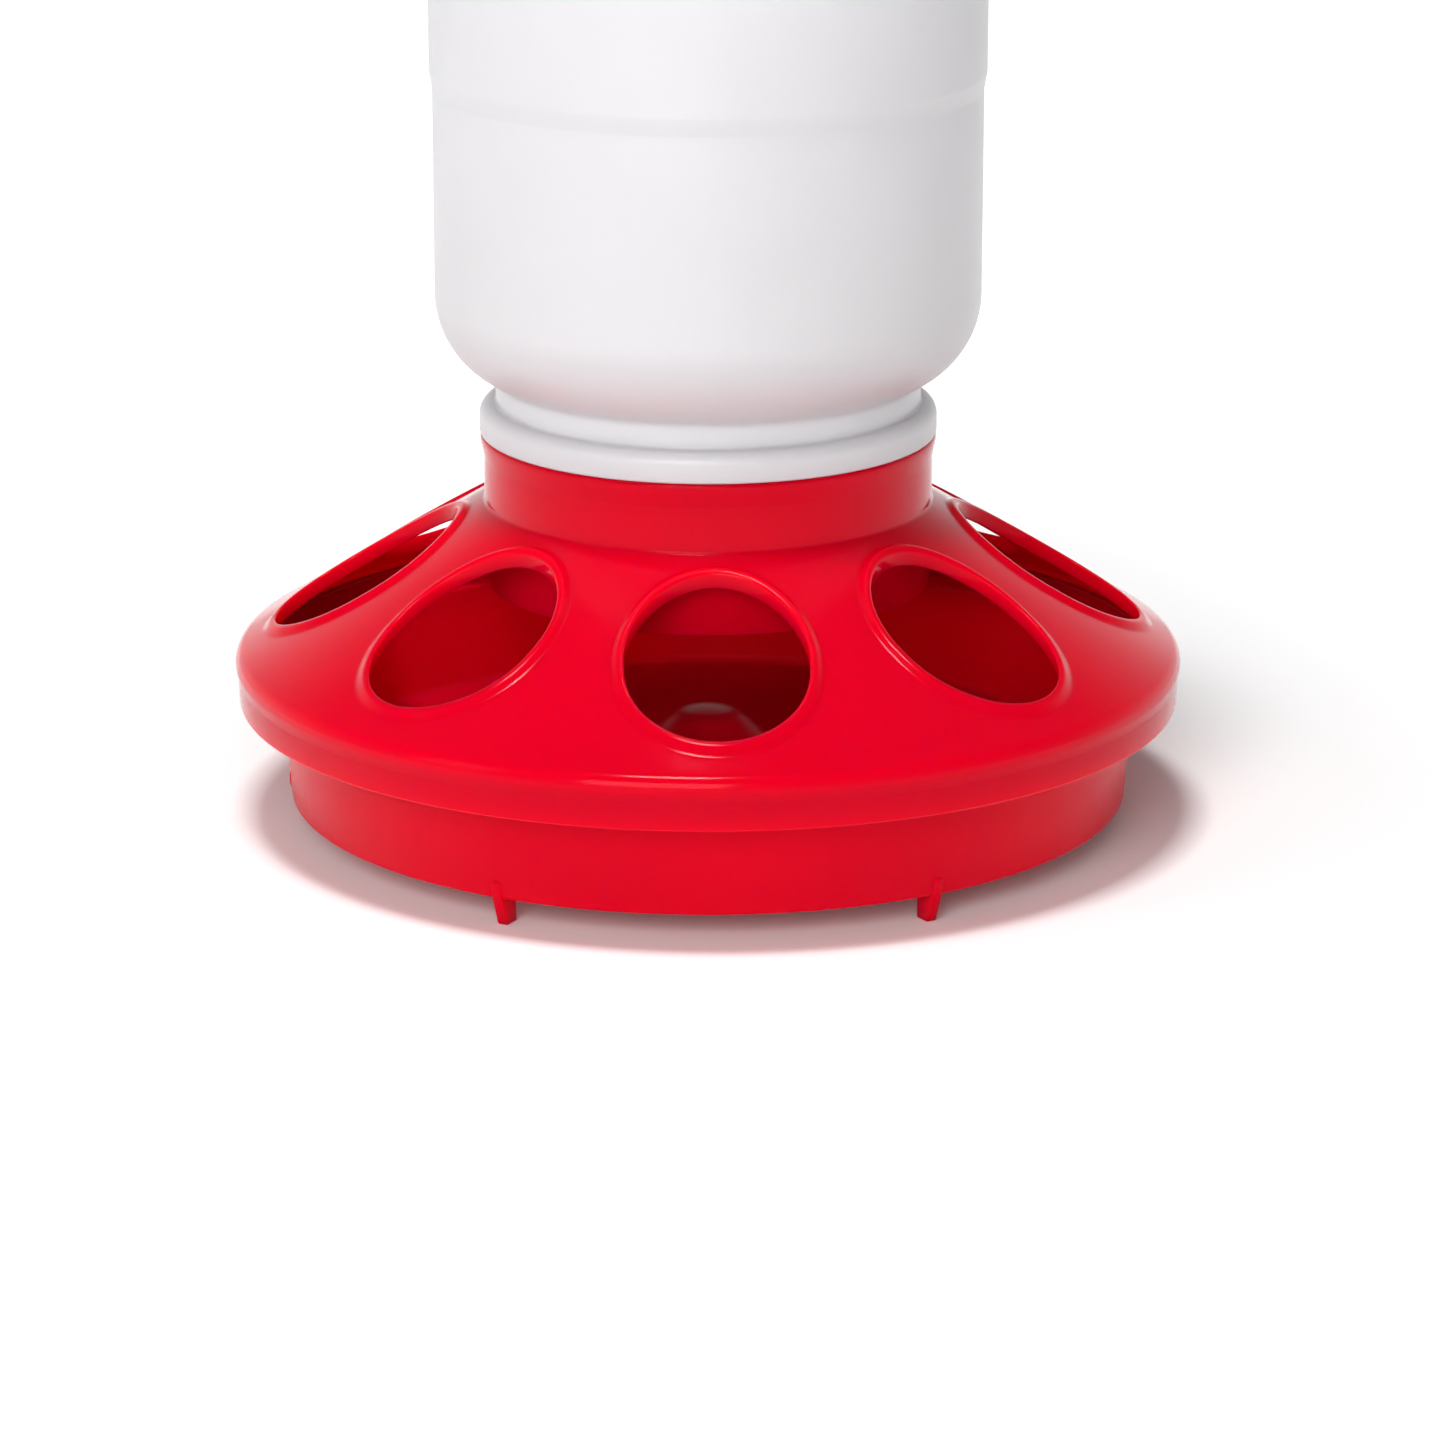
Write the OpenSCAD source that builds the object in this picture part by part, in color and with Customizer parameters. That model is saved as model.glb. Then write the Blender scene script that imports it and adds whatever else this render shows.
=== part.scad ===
// Quart jar feeder for chicks: a pan on short feet, a coned cover with eating ports, and an inverted jar.
// Origin on the floor under the centre of the pan, +Z up, a port facing -Y, millimetres.

/* [Pan] */
// Outside radius of the pan wall at its foot
pan_r = 73.2; // [72:0.1:74]
// Height of the pan's underside above the floor
foot_h = 5; // [4:0.5:6]
// Wall thickness of the pan
pan_wall = 1.8; // [1.5:0.1:2]
// Number of feet
foot_count = 6; // [3:1:12]
// Width of one foot
foot_w = 2; // [1.5:0.1:4]
// Radius of the centre cone at the floor of the pan
hub_r = 17; // [14:0.5:20]
// Height of the top of the centre cone above the floor
hub_top = 20; // [16:0.5:24]

/* [Cover] */
// Overall radius of the cover
cover_r = 82.6; // [82.4:0.1:84]
// Wall thickness of the cover
cover_wall = 1.8; // [1.5:0.1:2]
// Height of the skirt's lower edge
skirt_z = 22.3; // [21.5:0.1:22.5]
// Fall of the cone per millimetre of radius
cone_fall = 0.61; // [0.6:0.005:0.62]
// Height at which the cone's sides would meet
cone_apex = 81.3; // [81.1:0.1:81.6]
// Number of ports
port_count = 8; // [4:1:8]
// Radius of a port's round ends
port_r = 15.4; // [10:0.1:16]
// Distance between the centres of a port's two round ends
port_stretch = 1.2; // [0:0.1:2]
// Distance of a port's middle from the axis
port_ring_r = 59.6; // [59:0.1:60]
// Height of the rim raised round each port
port_rim_h = 1; // [0.5:0.1:1.5]
// Width of the rim raised round each port
port_rim_w = 1.6; // [1:0.1:2]

/* [Collar] */
// Outside radius of the threaded collar
collar_r = 38.9; // [38.5:0.1:39.2]
// Outside radius of the collar's lip
lip_r = 39.5; // [39.2:0.1:39.8]
// Inside radius of the collar
bore_r = 36.2; // [36:0.1:36.4]
// Height of the collar's lower edge, inside the feeder
collar_z0 = 43; // [42:0.5:48]
// Height of the collar's upper edge
collar_z1 = 69.6; // [69:0.1:70]

/* [Thread] */
// Rise of the thread in one turn
pitch = 6.35; // [6:0.05:6.5]
// Turns of thread on the jar and in the collar
thread_turns = 1.25; // [1:0.05:1.4]

/* [Jar] */
// Outside radius of the jar near its neck
jar_r = 47.1; // [46:0.1:48]
// Extra radius of the jar above the step in its side
jar_step = 0.5; // [0:0.1:1]
// Outside radius of the jar's neck
neck_r = 33.8; // [33.5:0.1:34]
// Wall thickness of the jar
jar_wall = 1.3; // [1:0.1:1.6]
// Length of the jar from mouth to base
jar_h = 172; // [150:1:190]

/* [Hidden] */

round_fn = 120;
arc_steps = 8;

// Pan: wall, flange and the lip that the cover sits over
pan_corner_r = 3;
pan_edge_r = 0.8;
pan_wall_top_r = pan_r + 1.2;
flange_z = 23.4;
lip_top_z = 29.8;
lip_outer_r = 79.6;
lip_w = 1.6;
lip_round = 0.5;
foot_in_r = 68.4;
foot_tip_r = 71.6;
foot_proud = 0.5;
hub_nose_r = 4;
hub_nose_drop = 0.8;
foot_web_h = 1;
foot_rib_h = 3;
foot_rib_top = 4;

// Cover: the corner between cone and skirt is an arc about one centre, inside and outside
corner_r = 3;
cone_angle = atan(cone_fall);
corner_x = cover_r - corner_r;
corner_z = cone_z(corner_x) - corner_r / cos(cone_angle);
skirt_draft = 0.6;
snap_h = 0.9;
snap_bite = 0.9;
lip_h = 1;
lip_slope = 3;
lip_edge = 0.4;
tube_draft = 0.4;
root_fillet = 0.8;
port_cut_h = 30;
rim_spare = 0.5;

// Jar: mouth, bead that stops on the collar, shoulder arc, step in the side, rounded base
mouth_z = 54;
bead_gap = 0.1;
bead_z0 = collar_z1 + bead_gap;
bead_z1 = 74.9;
bead_r = 39.6;
bead_round_r = 1.9;
bead_round_h = 3;
bead_edge = 0.2;
shoulder_r = 16;
shoulder_z1 = 94.3;
shoulder_edge_r = 36.8;
step_z = 130;
step_h = 3;
base_r = 8;
base_rim_w = 4;
base_sink = 3;
jar_top = mouth_z + jar_h;

// Thread ribs, both on one helix, half a turn apart
rib_h = 1.5;
rib_root_w = 2.6;
rib_crest_w = 1.2;
rib_bury = 0.3;
rib_steps = 36;
rib_sink = 0.15;
rib_z0 = mouth_z + 3.4;
fade_angle = 30;
rib_start = 63;

function cone_z(r) = cone_apex - cone_fall * r;
function arc(x, z, r, a0, a1) =
    [for (i = [0:arc_steps]) let (a = a0 + (a1 - a0) * i / arc_steps) [x + r * cos(a), z + r * sin(a)]];
function ellipse_arc(x, z, rx, rz) =
    [for (i = [0:arc_steps]) let (a = 90 * i / arc_steps) [x + rx * cos(a), z + rz * sin(a)]];

// One side of the jar's wall, set in by t, from the mouth to the middle of the base.
function jar_side(t, start_r) =
    let (
        centre_x = jar_r - shoulder_r,
        r = shoulder_r - t,
        a = acos((start_r - centre_x) / r),
        top_r = jar_r + jar_step,
        rim_r = top_r - base_r
    )
    concat(
        arc(centre_x, shoulder_z1, r, -a, 0),
        [[jar_r - t, step_z], [top_r - t, step_z + step_h]],
        arc(rim_r, jar_top - base_r, base_r - t, 0, 90),
        [[rim_r - base_rim_w, jar_top - t], [rim_r - base_rim_w - base_sink, jar_top - base_sink - t]],
        [[0, jar_top - base_sink - t]]
    );

// Radial height of a thread rib at angle a along it: full in the middle, faded at both ends.
function fade(a, total) = min(1, a / fade_angle, (total - a) / fade_angle);

// A helical rib standing from radius root to radius crest, starting at angle turn.
module thread_rib(root, crest, turn) {
    total = 360 * thread_turns;
    count = rib_steps * thread_turns;
    way = crest > root ? 1 : -1;
    points = [
        for (i = [0:count])
            let (
                a = total * i / count,
                tip = root - way * rib_sink + (crest - root + way * rib_sink) * fade(a, total),
                z = rib_z0 + pitch * i / rib_steps,
                c = cos(a + turn),
                s = sin(a + turn),
                buried = root - way * rib_bury
            )
            for (p = [
                [buried, -rib_root_w / 2], [tip, -rib_crest_w / 2],
                [tip, rib_crest_w / 2], [buried, rib_root_w / 2]
            ])
                [p[0] * c, p[0] * s, z + p[1]]
    ];
    sides = [
        for (i = [0:count - 1], k = [0:3])
            let (a = 4 * i + k, b = 4 * i + (k + 1) % 4, c = b + 4, d = a + 4)
            each (way > 0 ? [[a, c, d], [a, b, c]] : [[a, d, c], [a, c, b]])
    ];
    last = 4 * count;
    ends = way > 0
        ? [[0, 2, 1], [0, 3, 2], [last, last + 1, last + 2], [last, last + 2, last + 3]]
        : [[0, 1, 2], [0, 2, 3], [last, last + 2, last + 1], [last, last + 3, last + 2]];
    polyhedron(points, concat(sides, ends), convexity = 10);
}

module foot() {
    rotate([90, 0, 0])
        translate([0, 0, -foot_w / 2])
            linear_extrude(foot_w)
                polygon([
                    [foot_in_r, 0], [foot_tip_r, 0], [pan_r + foot_proud, foot_h + foot_web_h],
                    [pan_r + foot_proud, foot_h + foot_rib_h], [pan_r - pan_wall / 2, foot_h + foot_rib_top],
                    [pan_r - pan_wall / 2, foot_h + pan_corner_r],
                    [pan_r - pan_corner_r, foot_h + pan_wall / 2],
                    [foot_in_r, foot_h + pan_wall / 2]
                ]);
}

module feed_pan() {
    floor_z = foot_h + pan_wall;
    inner_r = pan_corner_r - pan_wall;
    lip_inner_r = lip_outer_r - lip_w;
    color("red") {
        rotate_extrude($fn = round_fn)
            polygon(concat(
                [[0, hub_top - pan_wall], [hub_nose_r - 1, hub_top - pan_wall - hub_nose_drop]],
                [[hub_r - 1, foot_h]],
                arc(pan_r - pan_edge_r, foot_h + pan_edge_r, pan_edge_r, -90, 0),
                [[pan_wall_top_r, flange_z], [lip_outer_r, flange_z], [lip_outer_r, lip_top_z - lip_round]],
                [[lip_outer_r - lip_round, lip_top_z], [lip_inner_r + lip_round, lip_top_z]],
                [[lip_inner_r, lip_top_z - lip_round], [lip_inner_r, flange_z + pan_wall]],
                [[pan_wall_top_r - pan_wall, flange_z + pan_wall]],
                arc(pan_r - pan_corner_r, foot_h + pan_corner_r, inner_r, 0, -90),
                [[hub_r + 1, floor_z], [hub_nose_r, hub_top - hub_nose_drop]],
                [[hub_nose_r / 2, hub_top - hub_nose_drop / 4], [0, hub_top]]
            ));
        for (i = [0:foot_count - 1])
            rotate(i * 360 / foot_count)
                foot();
    }
}

module cover_shell() {
    t = cover_wall;
    skin = t / cos(cone_angle);
    skirt_r = cover_r - skirt_draft;
    land_r = collar_r + root_fillet;
    rotate_extrude($fn = round_fn)
        polygon(concat(
            [[bore_r, collar_z1], [lip_r - lip_edge, collar_z1], [lip_r, collar_z1 - lip_edge]],
            [[lip_r, collar_z1 - lip_h], [collar_r, collar_z1 - lip_h - lip_slope]],
            [[collar_r, cone_z(collar_r) + root_fillet], [land_r, cone_z(land_r)]],
            arc(corner_x, corner_z, corner_r, 90 - cone_angle, 0),
            [[skirt_r, skirt_z], [skirt_r - t, skirt_z]],
            [[skirt_r - t - snap_bite, skirt_z + snap_h / 2], [skirt_r - t, skirt_z + snap_h]],
            arc(corner_x, corner_z, corner_r - t, 0, 90 - cone_angle),
            [[collar_r, cone_z(collar_r) - skin], [collar_r - tube_draft, collar_z0], [bore_r, collar_z0]]
        ));
}

// Outline of one port, grown outwards.
module port_outline(grow) {
    for (side = [-1, 1])
        translate([side * port_stretch / 2, 0])
            circle(r = port_r + grow, $fn = 96);
    square([port_stretch, 2 * (port_r + grow)], center = true);
}

// The space straight above and below every port, so that the mould can open.
module port_columns(grow) {
    for (i = [0:port_count - 1])
        rotate(-90 + i * 360 / port_count)
            translate([port_ring_r, 0, cone_z(port_ring_r)])
                linear_extrude(port_cut_h, center = true)
                    port_outline(grow);
}

// Rims raised round the ports, following the slope of the cone.
module port_rims() {
    reach = port_stretch / 2 + port_r + port_rim_w + rim_spare;
    in_r = port_ring_r - reach;
    out_r = port_ring_r + reach;
    intersection() {
        rotate_extrude($fn = round_fn)
            polygon([
                [in_r, cone_z(in_r) - cover_wall / 2], [out_r, cone_z(out_r) - cover_wall / 2],
                [out_r, cone_z(out_r) + port_rim_h], [in_r, cone_z(in_r) + port_rim_h]
            ]);
        port_columns(port_rim_w);
    }
}

module feeder_cover() {
    color("red") {
        difference() {
            union() {
                cover_shell();
                port_rims();
            }
            port_columns(0);
        }
        thread_rib(bore_r, bore_r - rib_h, rib_start + 180);
    }
}

module jar() {
    inner = jar_side(jar_wall, neck_r - jar_wall);
    color("whitesmoke") {
        rotate_extrude($fn = round_fn)
            polygon(concat(
                [[neck_r - jar_wall, mouth_z], [neck_r, mouth_z]],
                [[neck_r, bead_z0], [bead_r - bead_edge, bead_z0]],
                ellipse_arc(bead_r - bead_round_r, bead_z1 - bead_round_h, bead_round_r, bead_round_h),
                jar_side(0, shoulder_edge_r),
                [for (i = [len(inner) - 1:-1:0]) inner[i]]
            ));
        thread_rib(neck_r, neck_r + rib_h, rib_start);
    }
}

feed_pan();
feeder_cover();
jar();
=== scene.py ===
"""Quart jar feeder for chicks: a red pan and coned cover with eating ports, and an inverted white jar."""

import math

import bmesh
import bpy
import numpy as np
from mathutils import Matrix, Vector


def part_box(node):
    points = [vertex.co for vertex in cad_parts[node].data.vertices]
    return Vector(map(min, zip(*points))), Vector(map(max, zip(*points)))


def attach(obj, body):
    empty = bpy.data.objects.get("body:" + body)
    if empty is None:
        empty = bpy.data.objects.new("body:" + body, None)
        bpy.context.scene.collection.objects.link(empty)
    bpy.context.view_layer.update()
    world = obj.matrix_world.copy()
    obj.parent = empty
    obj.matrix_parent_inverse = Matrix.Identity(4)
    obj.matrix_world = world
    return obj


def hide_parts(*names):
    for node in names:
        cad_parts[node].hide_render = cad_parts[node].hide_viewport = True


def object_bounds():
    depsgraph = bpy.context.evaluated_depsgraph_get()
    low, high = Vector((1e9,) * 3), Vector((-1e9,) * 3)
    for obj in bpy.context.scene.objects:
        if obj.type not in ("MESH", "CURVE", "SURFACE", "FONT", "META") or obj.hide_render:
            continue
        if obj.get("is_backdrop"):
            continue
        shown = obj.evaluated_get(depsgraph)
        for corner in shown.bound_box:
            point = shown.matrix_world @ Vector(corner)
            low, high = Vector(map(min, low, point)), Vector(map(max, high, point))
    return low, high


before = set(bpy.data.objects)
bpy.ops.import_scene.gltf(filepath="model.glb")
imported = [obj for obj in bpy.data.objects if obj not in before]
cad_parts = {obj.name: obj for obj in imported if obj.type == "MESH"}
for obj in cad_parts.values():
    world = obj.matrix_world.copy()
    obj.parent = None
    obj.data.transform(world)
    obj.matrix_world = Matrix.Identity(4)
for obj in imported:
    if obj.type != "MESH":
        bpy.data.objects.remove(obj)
CAD_LOW, CAD_HIGH = (v.copy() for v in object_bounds())

MM = 0.001


def node_size(cad_node):
    """The outside radius, lowest and highest point of a CAD node, in millimetres."""
    low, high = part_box(cad_node)
    return high[0] / MM, low[2] / MM, high[2] / MM


PAN_R, _, PAN_TOP = node_size("feed_pan")
COVER_R, SKIRT_Z, COLLAR_TOP = node_size("feeder_cover")
JAR_R, MOUTH_Z, JAR_TOP = node_size("jar")

# How finely a full turn is divided: ports x columns per port.
PORTS = 8
COLUMNS = 26
TURN_STEPS = PORTS * COLUMNS

# Cover, in millimetres
WALL = 1.8
CONE_FALL = 0.61
CONE_APEX = 81.3
CONE_ANGLE = math.atan(CONE_FALL)
RIDGE_ROUND = 3.0
SKIRT_DRAFT = 0.6
SNAP_BITE = 0.9
SNAP_MIDDLE = 0.45
SNAP_TOP = 0.95
COLLAR_R = 38.9
LIP_R = 39.5
BORE_R = 36.2
COLLAR_LOW = 43.0
PATCH_IN = 39.7
PATCH_OUT = 79.9
PORT_R = 15.4
PORT_RING = 59.6
PORT_STRETCH = 1.2
RIM_H = 1.0
RIM_W = 1.0
RIM_FOOT = 2.2
RIM_REACH = 3.4

# Thread, in millimetres and degrees
PITCH = 6.35
TURNS = 1.25
RIB_H = 1.5
RIB_ROOT = 1.3
RIB_CREST = 0.55
RIB_START = 63.0
RIB_FADE = 30.0
RIB_LOW = MOUTH_Z + 3.4
ROW_STEP = 0.3

# Jar, in millimetres
NECK_R = 33.8
JAR_WALL = 1.3
JAR_STEP = 0.5
BEAD_R = 39.6
BEAD_LOW = COLLAR_TOP + 0.1
BEAD_TOP = 74.9
SHOULDER_ROUND = 16.0
SHOULDER_Z = 94.3
SHOULDER_EDGE_R = 36.8
STEP_Z = 130.0
STEP_H = 3.0
BASE_ROUND = 8.0
BASE_RIM_W = 4.0
BASE_SINK = 3.0
MOUTH_ROUND = 0.4

# Pan, in millimetres
FOOT_H = 5.0
FEET = 6
FOOT_W = 2.0
FOOT_IN_R = 68.4
FOOT_TIP_R = 71.6
WALL_R = 73.2
WALL_TOP_R = 74.4
FLANGE_Z = 23.4
HUB_R = 17.0
HUB_TOP = 20.0


def cone_z(r):
    """Height of the cover's outside at radius r."""
    return CONE_APEX - CONE_FALL * r


def arc(x, z, r, first, last, steps=10):
    """Points of an arc about (x, z), from angle first to last in degrees."""
    angles = np.radians(np.linspace(first, last, steps + 1))
    return [(x + r * math.cos(a), z + r * math.sin(a)) for a in angles]


def rounded(corners, steps=5):
    """An open path through corners (r, z, radius), each turned by an arc of that radius."""
    path = []
    for i, (x, z, radius) in enumerate(corners):
        if radius == 0 or i in (0, len(corners) - 1):
            path.append((x, z))
            continue
        here = np.array((x, z))
        back = np.array(corners[i - 1][:2]) - here
        ahead = np.array(corners[i + 1][:2]) - here
        back /= np.linalg.norm(back)
        ahead /= np.linalg.norm(ahead)
        half = math.acos(np.clip(back @ ahead, -1, 1)) / 2
        reach = radius / math.tan(half)
        middle = (back + ahead) / np.linalg.norm(back + ahead)
        centre = here + middle * radius / math.sin(half)
        start = here + back * reach - centre
        end = here + ahead * reach - centre
        turn = math.acos(np.clip(start @ end / radius**2, -1, 1))
        for k in range(steps + 1):
            t = k / steps
            blend = math.sin((1 - t) * turn) * start + math.sin(t * turn) * end
            path.append(tuple(centre + blend / math.sin(turn)))
    return path


def thread_height(angle, z, start):
    """How far the thread stands out at an angle (radians) and height."""
    total = 360 * TURNS
    best = 0.0
    for lap in range(2):
        along = (math.degrees(angle) - start) % 360 + 360 * lap
        if along > total:
            continue
        off = abs(z - (RIB_LOW + PITCH * along / 360))
        side = np.clip((RIB_ROOT - off) / (RIB_ROOT - RIB_CREST), 0, 1)
        fade = np.clip(min(along, total - along) / RIB_FADE, 0, 1)
        best = max(best, RIB_H * side * side * (3 - 2 * side) * fade)
    return best


class Shell:
    """Collects points in millimetres and faces, then makes one smooth mesh object in metres."""

    def __init__(self):
        self.points = []
        self.faces = []

    def add(self, point):
        self.points.append(point)
        return len(self.points) - 1

    def ring(self, r, z, wave=None):
        """A ring of points round the axis, or one point where the radius is nothing."""
        if r < 1e-6:
            return [self.add((0, 0, z))]
        out = []
        for i in range(TURN_STEPS):
            a = 2 * math.pi * i / TURN_STEPS
            rr = r + (wave(a, r, z) if wave else 0)
            out.append(self.add((rr * math.cos(a), rr * math.sin(a), z)))
        return out

    def bridge(self, first, second):
        """Faces between two closed rings, either of which may be one point."""
        n = max(len(first), len(second))
        for i in range(n):
            j = (i + 1) % n
            if len(first) == 1:
                self.faces.append((first[0], second[j], second[i]))
            elif len(second) == 1:
                self.faces.append((first[i], first[j], second[0]))
            else:
                self.faces.append((first[i], first[j], second[j], second[i]))

    def spin(self, path, wave=None):
        """Turns a path of (r, z) round the axis."""
        rings = [self.ring(r, z, wave) for r, z in path]
        for a, b in zip(rings, rings[1:]):
            self.bridge(a, b)
        return rings

    def make(self, name):
        mesh = bpy.data.meshes.new(name)
        mesh.from_pydata([tuple(c * MM for c in p) for p in self.points], [], self.faces)
        bm = bmesh.new()
        bm.from_mesh(mesh)
        bmesh.ops.remove_doubles(bm, verts=bm.verts, dist=1e-6)
        bmesh.ops.dissolve_degenerate(bm, edges=bm.edges, dist=1e-7)
        bmesh.ops.recalc_face_normals(bm, faces=bm.faces)
        bm.to_mesh(mesh)
        bm.free()
        obj = bpy.data.objects.new(name, mesh)
        bpy.context.scene.collection.objects.link(obj)
        mesh.polygons.foreach_set("use_smooth", [True] * len(mesh.polygons))
        return obj


def port_patches(shell):
    """The cone with its ports, one sector at a time: outer skin, raised rim, port wall, inner skin."""
    skin = WALL / math.cos(CONE_ANGLE)
    half = math.pi / PORTS
    side_steps = 14
    across = np.linspace(-half, half, COLUMNS + 1)
    edge = [(a, PATCH_OUT) for a in across[:-1]]
    edge += [(half, r) for r in np.linspace(PATCH_OUT, PATCH_IN, side_steps + 1)[:-1]]
    edge += [(a, PATCH_IN) for a in across[::-1][:-1]]
    edge += [(-half, r) for r in np.linspace(PATCH_IN, PATCH_OUT, side_steps + 1)[:-1]]

    # Distance out from the port's wall and height over the cone: up the rim, over it and down the wall.
    profile = rounded([
        (RIM_REACH, 0, 0), (RIM_FOOT, 0, 1.4), (RIM_W, RIM_H, 0.9), (0, RIM_H - 0.15, 0.5),
        (0, -skin, 0.45), (RIM_REACH, -skin, 0),
    ], 6)

    def rim_point(angle, out, up):
        shift = math.copysign(PORT_STRETCH / 2, math.cos(angle))
        x = PORT_RING + shift + (PORT_R + out) * math.cos(angle)
        y = (PORT_R + out) * math.sin(angle)
        return (x, y, cone_z(math.hypot(x, y)) + up)

    def skin_point(edge_at, rim_at, t, drop):
        a, r = edge_at
        goal = np.array((r * math.cos(a), r * math.sin(a)))
        xy = goal + (np.array(rim_at[:2]) - goal) * t
        r = math.hypot(*xy)
        return (xy[0], xy[1], cone_z(r) - drop)

    for port in range(PORTS):
        turn = 2 * math.pi * port / PORTS - math.pi / 2
        c, s = math.cos(turn), math.sin(turn)
        loops = []
        columns = []
        for a, r in edge:
            toward = (r * math.cos(a) - PORT_RING, r * math.sin(a))
            angle = math.atan2(toward[1], toward[0])
            rim = [rim_point(angle, out, up) for out, up in profile]
            rows = [0, 0.25, 0.5, 0.75]
            column = [skin_point((a, r), rim[0], t, 0) for t in rows]
            column += rim
            column += [skin_point((a, r), rim[-1], t, skin) for t in rows[::-1]]
            columns.append(column)
        for row in range(len(columns[0])):
            loops.append([
                shell.add((p[row][0] * c - p[row][1] * s, p[row][0] * s + p[row][1] * c, p[row][2]))
                for p in columns
            ])
        for a, b in zip(loops, loops[1:]):
            shell.bridge(a, b)


def make_cover():
    """The cover: collar with thread, coned top with ports, ridge and skirt."""
    skin = WALL / math.cos(CONE_ANGLE)
    ridge_x = COVER_R - RIDGE_ROUND
    ridge_z = cone_z(ridge_x) - RIDGE_ROUND / math.cos(CONE_ANGLE)
    skirt_r = COVER_R - SKIRT_DRAFT
    cone_deg = 90 - math.degrees(CONE_ANGLE)
    shell = Shell()
    outer = [(PATCH_OUT, cone_z(PATCH_OUT)), (PATCH_OUT + 0.6, cone_z(PATCH_OUT + 0.6))]
    outer += arc(ridge_x, ridge_z, RIDGE_ROUND, cone_deg, -12, 14)
    outer += rounded([
        (COVER_R - 0.28, ridge_z - 1.3, 0), (COVER_R - 0.42, ridge_z - 2.2, 0.6),
        (skirt_r, SKIRT_Z, 0.5), (skirt_r - WALL, SKIRT_Z, 0.4),
        (skirt_r - WALL - SNAP_BITE, SKIRT_Z + SNAP_MIDDLE, 0.3),
        (skirt_r - WALL, SKIRT_Z + SNAP_TOP, 0.3),
        (COVER_R - WALL, ridge_z, 0),
    ])
    outer += arc(ridge_x, ridge_z, RIDGE_ROUND - WALL, 8, cone_deg, 8)
    outer += [(PATCH_OUT, cone_z(PATCH_OUT) - skin)]
    shell.spin(outer)

    collar = rounded([
        (PATCH_IN, cone_z(PATCH_IN), 0), (COLLAR_R, cone_z(COLLAR_R), 0.9),
        (COLLAR_R, COLLAR_TOP - 4, 4), (LIP_R, COLLAR_TOP - 1, 1.5),
        (LIP_R, COLLAR_TOP, 0.5), (BORE_R, COLLAR_TOP, 0.5), (BORE_R, COLLAR_TOP - 1.5, 0),
    ])
    rows = np.arange(COLLAR_TOP - 1.8, RIB_LOW - 3, -ROW_STEP)
    collar += [(BORE_R, z) for z in rows]
    collar += rounded([
        (BORE_R, RIB_LOW - 4, 0), (BORE_R, COLLAR_LOW, 0.5), (COLLAR_R - 0.4, COLLAR_LOW, 0.5),
        (COLLAR_R, cone_z(COLLAR_R) - skin, 1.0), (PATCH_IN, cone_z(PATCH_IN) - skin, 0),
    ])

    def cut(angle, r, z):
        inside = abs(r - BORE_R) < 1e-6 and z < COLLAR_TOP - 1.6
        return -thread_height(angle, z, RIB_START + 180) if inside else 0

    shell.spin(collar, cut)
    port_patches(shell)
    return shell.make("cover_moulding")


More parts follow.
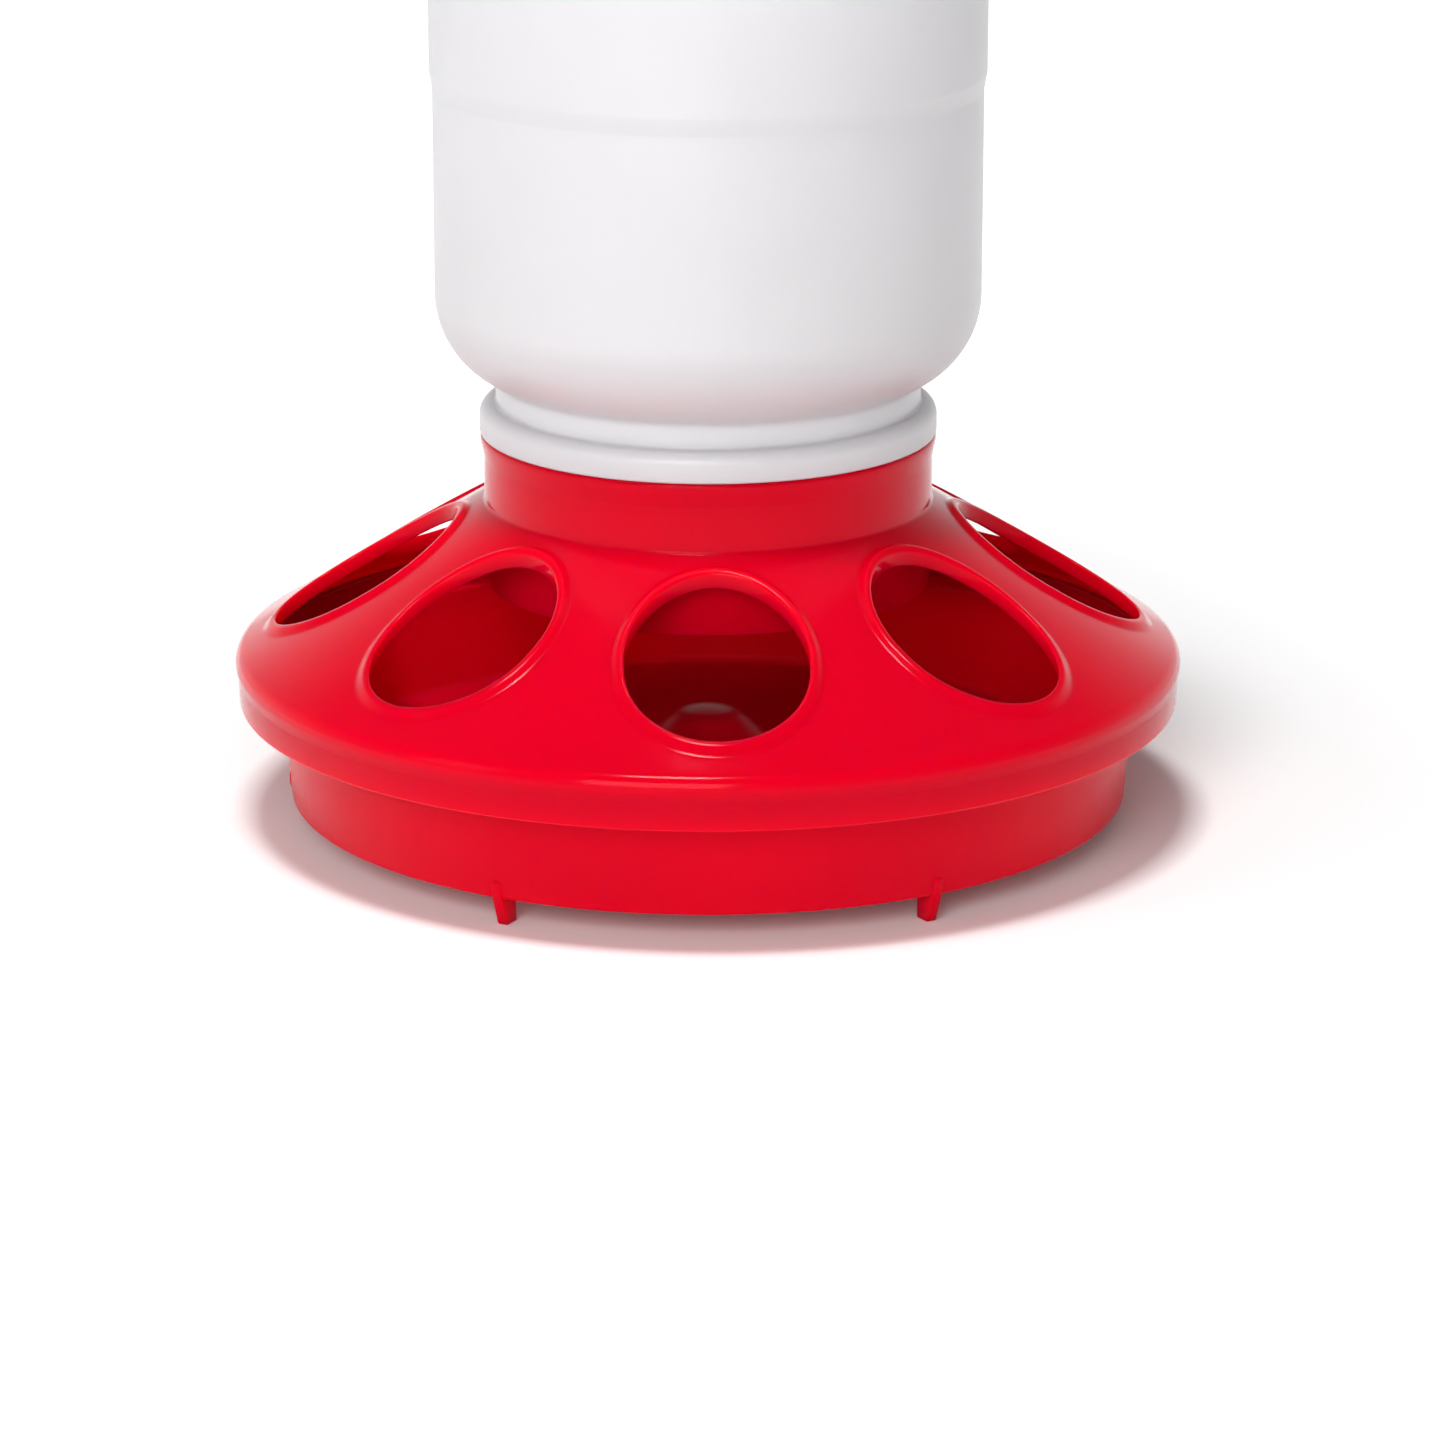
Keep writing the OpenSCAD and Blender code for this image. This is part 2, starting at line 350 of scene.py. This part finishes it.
def make_jar():
    """The jar, upside down: mouth, thread, bead, shoulder, side step and sunken base."""
    body_r = JAR_R - JAR_STEP
    centre_x = body_r - SHOULDER_ROUND
    rim_x = JAR_R - BASE_ROUND
    dish_x = rim_x - BASE_RIM_W
    dish_z = JAR_TOP - BASE_SINK
    first = math.degrees(math.acos((SHOULDER_EDGE_R - centre_x) / SHOULDER_ROUND))
    flare = arc(centre_x, SHOULDER_Z, SHOULDER_ROUND, -first, 0, 36)
    blend = 6
    inner_r = NECK_R - JAR_WALL
    inner_round = SHOULDER_ROUND - JAR_WALL
    inner_first = math.degrees(math.acos((inner_r - centre_x) / inner_round))
    path = [(inner_r, MOUTH_Z + 1)]
    path += arc(inner_r + MOUTH_ROUND, MOUTH_Z + MOUTH_ROUND, MOUTH_ROUND, 180, 270, 4)
    path += arc(NECK_R - MOUTH_ROUND, MOUTH_Z + MOUTH_ROUND, MOUTH_ROUND, 270, 360, 4)
    path += [(NECK_R, z) for z in np.arange(MOUTH_Z + 1, BEAD_LOW - 1.2, ROW_STEP)]
    path += rounded([
        (NECK_R, BEAD_LOW - 0.9, 0), (NECK_R, BEAD_LOW, 0.3), (BEAD_R, BEAD_LOW, 0.45),
        (BEAD_R, BEAD_TOP, 2.1), (SHOULDER_EDGE_R, BEAD_TOP, 0.5),
        (*flare[0], 1.5), (*flare[blend], 0),
    ], 8)
    path += flare[blend + 1:]
    path += rounded([
        (body_r, STEP_Z - 8, 0), (body_r, STEP_Z, 4), (JAR_R, STEP_Z + STEP_H, 4),
        (JAR_R, STEP_Z + 12, 0), (JAR_R, JAR_TOP - BASE_ROUND, 0),
    ], 8)
    path += arc(rim_x, JAR_TOP - BASE_ROUND, BASE_ROUND, 0, 90, 14)
    path += rounded([
        (rim_x - 1, JAR_TOP, 0), (dish_x, JAR_TOP, 2), (dish_x - BASE_SINK, dish_z, 3),
        (dish_x - 10, dish_z, 0), (0, dish_z, 0),
    ], 6)
    inside = arc(centre_x, SHOULDER_Z, inner_round, -inner_first, 0, 24)
    inside += [(body_r - JAR_WALL, STEP_Z), (JAR_R - JAR_WALL, STEP_Z + STEP_H)]
    inside += arc(rim_x, JAR_TOP - BASE_ROUND, BASE_ROUND - JAR_WALL, 0, 90, 10)
    inside += [(dish_x, JAR_TOP - JAR_WALL), (dish_x - BASE_SINK, dish_z - JAR_WALL)]
    inside += [(0, dish_z - JAR_WALL)]

    def stand(angle, r, z):
        on_neck = abs(r - NECK_R) < 1e-6 and z < BEAD_LOW - 1
        return thread_height(angle, z, RIB_START) if on_neck else 0

    shell = Shell()
    outer_rings = shell.spin(path, stand)
    inner_rings = shell.spin(inside)
    shell.bridge(outer_rings[0], inner_rings[0])
    return shell.make("jar_bottle")


def make_foot(turn):
    """One foot: a rounded web under the floor that runs a little way up the wall."""
    side = [
        (FOOT_IN_R, 0), (FOOT_TIP_R, 0), (WALL_R + 0.5, FOOT_H + 1), (WALL_R + 0.5, FOOT_H + 3),
        (WALL_R - 0.9, FOOT_H + 4), (WALL_R - 0.9, FOOT_H + 3),
        (WALL_R - 3, FOOT_H + 0.9), (FOOT_IN_R, FOOT_H + 0.9),
    ]
    bm = bmesh.new()
    faces = []
    for y in (-FOOT_W / 2, FOOT_W / 2):
        corners = [bm.verts.new((x * MM, y * MM, z * MM)) for x, z in side]
        faces.append(corners)
    bm.faces.new(faces[0])
    bm.faces.new(faces[1][::-1])
    n = len(side)
    for i in range(n):
        j = (i + 1) % n
        bm.faces.new((faces[0][j], faces[0][i], faces[1][i], faces[1][j]))
    bmesh.ops.recalc_face_normals(bm, faces=bm.faces)
    bmesh.ops.bevel(bm, geom=bm.edges[:], offset=0.4 * MM, segments=3, profile=0.5, affect="EDGES")
    c, s = math.cos(turn), math.sin(turn)
    for v in bm.verts:
        v.co = (v.co.x * c - v.co.y * s, v.co.x * s + v.co.y * c, v.co.z)
    mesh = bpy.data.meshes.new("foot")
    bm.to_mesh(mesh)
    bm.free()
    obj = bpy.data.objects.new("foot", mesh)
    bpy.context.scene.collection.objects.link(obj)
    return obj


def make_pan():
    """The pan: floor with its centre cone, tapered wall, flange and lip under the cover, and feet."""
    floor = FOOT_H + WALL
    path = rounded([
        (0, HUB_TOP - WALL, 0), (3, HUB_TOP - WALL - 0.8, 1.5), (HUB_R - 1, FOOT_H, 1),
        (WALL_R, FOOT_H, 0.8), (WALL_TOP_R, FLANGE_Z, 0.6), (PAN_R, FLANGE_Z, 0.4),
        (PAN_R, PAN_TOP, 0.5), (PAN_R - 1.6, PAN_TOP, 0.5), (PAN_R - 1.6, FLANGE_Z + WALL, 0.5),
        (WALL_TOP_R - WALL, FLANGE_Z + WALL, 0.6), (WALL_R - WALL, floor, 1.6),
        (HUB_R + 1.6, floor, 2.5), (5.6, HUB_TOP - 1.3, 6), (0, HUB_TOP - 0.4, 0),
    ], 6)
    shell = Shell()
    shell.spin(path)
    pan = shell.make("pan_moulding")
    for i in range(FEET):
        foot = make_foot(2 * math.pi * i / FEET)
        join = pan.modifiers.new("join", "BOOLEAN")
        join.operation = "UNION"
        join.solver = "EXACT"
        join.object = foot
        done = bpy.data.meshes.new_from_object(pan.evaluated_get(bpy.context.evaluated_depsgraph_get()))
        pan.modifiers.clear()
        pan.data = done
        bpy.data.objects.remove(foot)
    pan.data.polygons.foreach_set("use_smooth", [True] * len(pan.data.polygons))
    pan.data.set_sharp_from_angle(angle=math.radians(50))
    return pan


# Looks: colours are linear, the grain's depth and the light's reach are in metres.
RED = (0.61, 0.0002, 0.014)
RED_TINT = (1, 0.4, 0.42)
RED_SPREAD = (1.0, 0.06, 0.08)
MILKY = (0.59, 0.58, 0.60)
WHITE = (1.0, 1.0, 1.0)
BRIGHT = (1, 1, 1, 1)


def node(tree, kind, **values):
    """A shader node with its inputs set by name."""
    made = tree.nodes.new(kind)
    for name, value in values.items():
        made.inputs[name.replace("_", " ")].default_value = value
    return made


def moulded_plastic(name, colour, rough, grain, depth, tint, ior, subsurface, reach, spread):
    """Moulded plastic that light soaks into: drifting colour, fine grain and patchy gloss."""
    material = bpy.data.materials.new(name)
    material.use_nodes = True
    tree = material.node_tree
    shader = tree.nodes["Principled BSDF"]
    shader.inputs["IOR"].default_value = ior
    shader.inputs["Specular Tint"].default_value = (*tint, 1)
    shader.inputs["Subsurface Weight"].default_value = subsurface
    shader.inputs["Subsurface Scale"].default_value = reach
    shader.inputs["Subsurface Radius"].default_value = spread
    where = tree.nodes.new("ShaderNodeTexCoord")
    drift = node(tree, "ShaderNodeTexNoise", Scale=22.0, Detail=2.0)
    fine = node(tree, "ShaderNodeTexNoise", Scale=grain, Detail=4.0)
    for noise in (drift, fine):
        tree.links.new(where.outputs["Object"], noise.inputs["Vector"])
    shade = tree.nodes.new("ShaderNodeValToRGB")
    shade.color_ramp.elements[0].position = 0.3
    shade.color_ramp.elements[0].color = (*(c * 0.95 for c in colour), 1)
    shade.color_ramp.elements[1].position = 0.7
    shade.color_ramp.elements[1].color = (*colour, 1)
    tree.links.new(drift.outputs["Fac"], shade.inputs["Fac"])
    tree.links.new(shade.outputs["Color"], shader.inputs["Base Color"])
    gloss = node(tree, "ShaderNodeMapRange", To_Min=rough * 0.85, To_Max=rough * 1.2)
    tree.links.new(fine.outputs["Fac"], gloss.inputs["Value"])
    tree.links.new(gloss.outputs["Result"], shader.inputs["Roughness"])
    bump = node(tree, "ShaderNodeBump", Strength=0.25, Distance=depth)
    tree.links.new(fine.outputs["Fac"], bump.inputs["Height"])
    tree.links.new(bump.outputs["Normal"], shader.inputs["Normal"])
    return material


def red_plastic(name, rough, ior):
    """Red plastic, thin enough for red light to come through its walls."""
    return moulded_plastic(name, RED, rough, 900, 0.00003, RED_TINT, ior, 0.9, 0.008, RED_SPREAD)


def milky_plastic(name):
    """The jar's satin white plastic."""
    return moulded_plastic(name, MILKY, 0.34, 500, 0.00005, (1, 1, 1), 1.45, 0.6, 0.006, WHITE)


def finish_piece(piece, body, cad_node, material):
    """Gives a piece its material and ties it to the frame."""
    piece.data.materials.clear()
    piece.data.materials.append(material)
    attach(piece, body)
    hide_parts(cad_node)


def area_light(name, place, aim, width, height, power):
    """A soft box at a place, turned towards a point."""
    data = bpy.data.lights.new(name, "AREA")
    data.shape = "RECTANGLE"
    data.size, data.size_y = width, height
    data.energy = power
    lamp = bpy.data.objects.new(name, data)
    bpy.context.scene.collection.objects.link(lamp)
    lamp.location = place
    lamp.rotation_euler = (Vector(aim) - Vector(place)).to_track_quat("-Z", "Y").to_euler()


def make_stage():
    """A plain white floor that glows more with distance, so that it meets the backdrop."""
    mesh = bpy.data.meshes.new("floor")
    far = 6.0
    corners = [(-far, -far, 0), (far, -far, 0), (far, far, 0), (-far, far, 0)]
    mesh.from_pydata(corners, [], [(0, 1, 2, 3)])
    floor = bpy.data.objects.new("floor", mesh)
    bpy.context.scene.collection.objects.link(floor)
    floor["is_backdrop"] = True
    paper = bpy.data.materials.new("white_paper")
    paper.use_nodes = True
    tree = paper.node_tree
    shader = tree.nodes["Principled BSDF"]
    shader.inputs["Base Color"].default_value = (0.93, 0.93, 0.93, 1)
    shader.inputs["Roughness"].default_value = 0.9
    shader.inputs["Specular IOR Level"].default_value = 0.0
    shader.inputs["Emission Color"].default_value = BRIGHT
    where = tree.nodes.new("ShaderNodeTexCoord")
    away = tree.nodes.new("ShaderNodeVectorMath")
    away.operation = "LENGTH"
    glow = node(tree, "ShaderNodeMapRange", From_Min=0.12, From_Max=0.4, To_Min=0.02, To_Max=0.7)
    tree.links.new(where.outputs["Object"], away.inputs[0])
    tree.links.new(away.outputs["Value"], glow.inputs["Value"])
    tree.links.new(glow.outputs["Result"], shader.inputs["Emission Strength"])
    mesh.materials.append(paper)


def make_lights():
    """Three soft boxes: a small one overhead, a large one in front and a weak one to the left."""
    aim = (0, 0, 0.06)
    area_light("overhead", (-0.14, -0.35, 1.5), aim, 0.34, 0.26, 16)
    area_light("front", (-0.3, -1.25, 0.6), aim, 0.8, 0.7, 12.5)
    area_light("left", (-1.3, -0.6, 0.8), aim, 0.5, 0.9, 2)


def make_surround():
    """Light from all round: a bright backdrop low down behind, dim in front and overhead."""
    world = bpy.data.worlds.new("studio")
    world.use_nodes = True
    tree = world.node_tree
    where = tree.nodes.new("ShaderNodeTexCoord")
    split = tree.nodes.new("ShaderNodeSeparateXYZ")
    behind = node(tree, "ShaderNodeMapRange", From_Min=0.1, From_Max=0.6, To_Min=0.42, To_Max=1.1)
    above = node(tree, "ShaderNodeMapRange", From_Min=0.15, From_Max=0.6, To_Min=1.0, To_Max=0.12)
    both = tree.nodes.new("ShaderNodeMath")
    both.operation = "MULTIPLY"
    tree.links.new(where.outputs["Generated"], split.inputs["Vector"])
    tree.links.new(split.outputs["Y"], behind.inputs["Value"])
    tree.links.new(split.outputs["Z"], above.inputs["Value"])
    tree.links.new(behind.outputs["Result"], both.inputs[0])
    tree.links.new(above.outputs["Result"], both.inputs[1])
    sky = tree.nodes["Background"]
    sky.inputs["Color"].default_value = BRIGHT
    tree.links.new(both.outputs["Value"], sky.inputs["Strength"])
    bpy.context.scene.world = world


def make_camera():
    """The camera: a metre away, a little to the left, looking down."""
    distance = 1.0
    height = 0.3173
    round_left = math.radians(1.4)
    look_right = math.radians(0.13)
    look_down = math.radians(16.75)
    roll = math.radians(-0.05)
    data = bpy.data.cameras.new("camera")
    data.lens = 147.8
    data.sensor_width = 36
    camera = bpy.data.objects.new("camera", data)
    bpy.context.scene.collection.objects.link(camera)
    camera.location = (-distance * math.sin(round_left), -distance * math.cos(round_left), height)
    camera.rotation_euler = (math.pi / 2 - look_down, roll, -round_left - look_right)
    bpy.context.scene.camera = camera


make_camera()
make_stage()
make_surround()
make_lights()
bpy.context.scene.view_settings.view_transform = "Standard"
red_cover = red_plastic("red_cover", 0.12, 1.24)
red_pan = red_plastic("red_pan", 0.3, 1.2)
milky_jar = milky_plastic("milky_jar")
finish_piece(make_pan(), "pan", "feed_pan", red_pan)
finish_piece(make_cover(), "cover", "feeder_cover", red_cover)
finish_piece(make_jar(), "jar", "jar", milky_jar)
